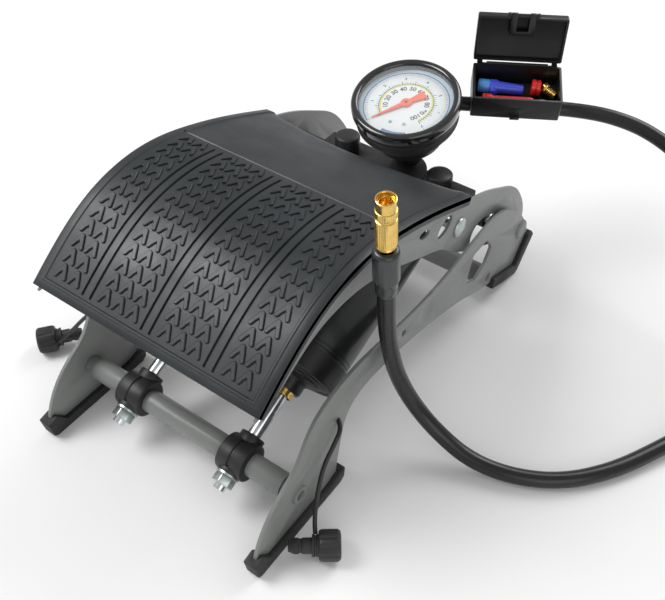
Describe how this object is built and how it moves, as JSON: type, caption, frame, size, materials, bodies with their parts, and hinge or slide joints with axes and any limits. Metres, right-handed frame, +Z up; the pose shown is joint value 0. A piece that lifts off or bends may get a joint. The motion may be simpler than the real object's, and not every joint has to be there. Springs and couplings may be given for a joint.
{
  "type": "twin-barrel foot pump with dial gauge",
  "caption": "Foot-operated air pump: arched steel stand, hinged treadle over side-by-side barrels, dial gauge, adapter case and short hose with a brass valve connector.",
  "frame": {"origin": "on the ground, midway across the base plates and midway along the pump's length without its hose", "axes": "+Z up, +Y from the low front end of the base to the rear treadle pivot, +X to the right seen from the front"},
  "size_m": [0.4447, 0.4112, 0.2254],
  "materials": {
    "painted_steel": "satin",
    "tread_rubber": "matte, moulded",
    "foot_rubber": "matte",
    "barrel_paint": "satin black",
    "chrome_rod": "polished",
    "zinc": "zinc plated",
    "black_plastic": "fine grain",
    "gauge_black": "glossy",
    "cup_rubber": "soft, matte",
    "dial_white": "printed scale",
    "lens_clear": "clear",
    "needle_red": "satin",
    "brass": "turned",
    "hose_rubber": "satin",
    "blue_plastic": "semi-gloss",
    "red_plastic": "glossy",
    "spring_steel": "oiled",
    "seal_rubber": "smooth",
    "strap_plastic": "smooth"
  },
  "bodies": {
    "base": {"base_plate_left": "painted_steel", "base_plate_right": "painted_steel", "front_shoe_left": "foot_rubber", "front_shoe_right": "foot_rubber", "rear_shoe_left": "foot_rubber", "rear_shoe_right": "foot_rubber", "rear_crossbar": "painted_steel", "pivot_axle": "zinc", "pivot_spacers": "black_plastic", "return_spring": "spring_steel", "hose": "hose_rubber", "hose_cuff": "hose_rubber", "valve_connector": "brass", "locking_pin_left": "black_plastic", "locking_pin_right": "black_plastic", "pin_strap_left": "strap_plastic", "pin_strap_right": "strap_plastic"},
    "treadle": {"treadle_pan": "painted_steel", "tread_mat": "tread_rubber", "barrel_shaft": "zinc", "domed_nuts": "zinc", "manifold_bridge": "black_plastic", "bridge_bolt": "zinc", "valve_caps": "black_plastic", "link_hoses": "hose_rubber", "gauge_stem": "brass", "gauge_housing": "cup_rubber", "gauge_bezel": "gauge_black", "gauge_dial": "dial_white", "gauge_lens": "lens_clear", "gauge_movement": "black_plastic", "hose_ferrule": "black_plastic", "case_base": "black_plastic", "nozzle_adapter": "blue_plastic", "valve_adapter": "red_plastic", "ball_needle_sleeve": "red_plastic", "ball_needle_tip": "zinc", "brass_adapter": "brass"},
    "needle": {"gauge_needle": "needle_red"},
    "barrels": {"barrel_left": "barrel_paint", "barrel_right": "barrel_paint", "barrel_head_left": "barrel_paint", "barrel_head_right": "barrel_paint", "barrel_cap_left": "black_plastic", "barrel_cap_right": "black_plastic", "gland_rings": "brass", "check_valves": "seal_rubber"},
    "crank": {"crossbar": "painted_steel", "piston_rod_left": "chrome_rod", "piston_rod_right": "chrome_rod", "rod_collar_left": "black_plastic", "rod_collar_right": "black_plastic", "rod_nuts": "zinc", "piston_left": "black_plastic", "piston_right": "black_plastic", "piston_cups": "seal_rubber", "piston_nuts": "zinc"},
    "lid": {"case_lid": "black_plastic"},
    "latch": {"case_latch": "black_plastic"},
    "sleeve": {"connector_sleeve": "brass"}
  },
  "joints": [
    {"name": "treadle_press", "type": "hinge", "parent": "base", "child": "treadle", "pos_m": [0, 0.15951, 0.0433], "axis": [1, 0, 0], "range_deg": [0, 14], "stiffness_Nm_per_rad": 20, "springref_deg": -20.05, "deforming": ["hose", "return_spring"]},
    {"name": "barrel_swing", "type": "hinge", "parent": "treadle", "child": "barrels", "pos_m": [0, 0.06011, 0.112], "axis": [1, 0, 0], "range_deg": [-20, 0], "deforming": ["link_hoses"]},
    {"name": "crossbar_turn", "type": "hinge", "parent": "base", "child": "crank", "pos_m": [0, -0.13159, 0.0325], "axis": [1, 0, 0], "range_deg": [-6, 0]},
    {"name": "needle_swing", "type": "hinge", "parent": "treadle", "child": "needle", "pos_m": [0.004, 0.11581, 0.155], "axis": [0, -0.2419, 0.9703], "range_deg": [-270, 0], "stiffness_Nm_per_rad": 0.001, "springref_deg": 11.46},
    {"name": "lid_fold", "type": "hinge", "parent": "treadle", "child": "lid", "pos_m": [0.04632, 0.20683, 0.15126], "axis": [0.866, 0.5, 0], "range_deg": [0, 104]},
    {"name": "latch_swing", "type": "hinge", "parent": "lid", "child": "latch", "pos_m": [0.04478, 0.20952, 0.19046], "axis": [0.866, 0.5, 0], "range_deg": [-90, 0]},
    {"name": "connector_turn", "type": "hinge", "parent": "base", "child": "sleeve", "pos_m": [0.0999, -0.05709, 0.181], "axis": [0.0155, -0.1056, 0.9943], "continuous": true}
  ],
  "couplings": [
    {"joint": "barrel_swing", "follows": "treadle_press", "ratio": -1.3917},
    {"joint": "crossbar_turn", "follows": "treadle_press", "ratio": -0.3917}
  ]
}
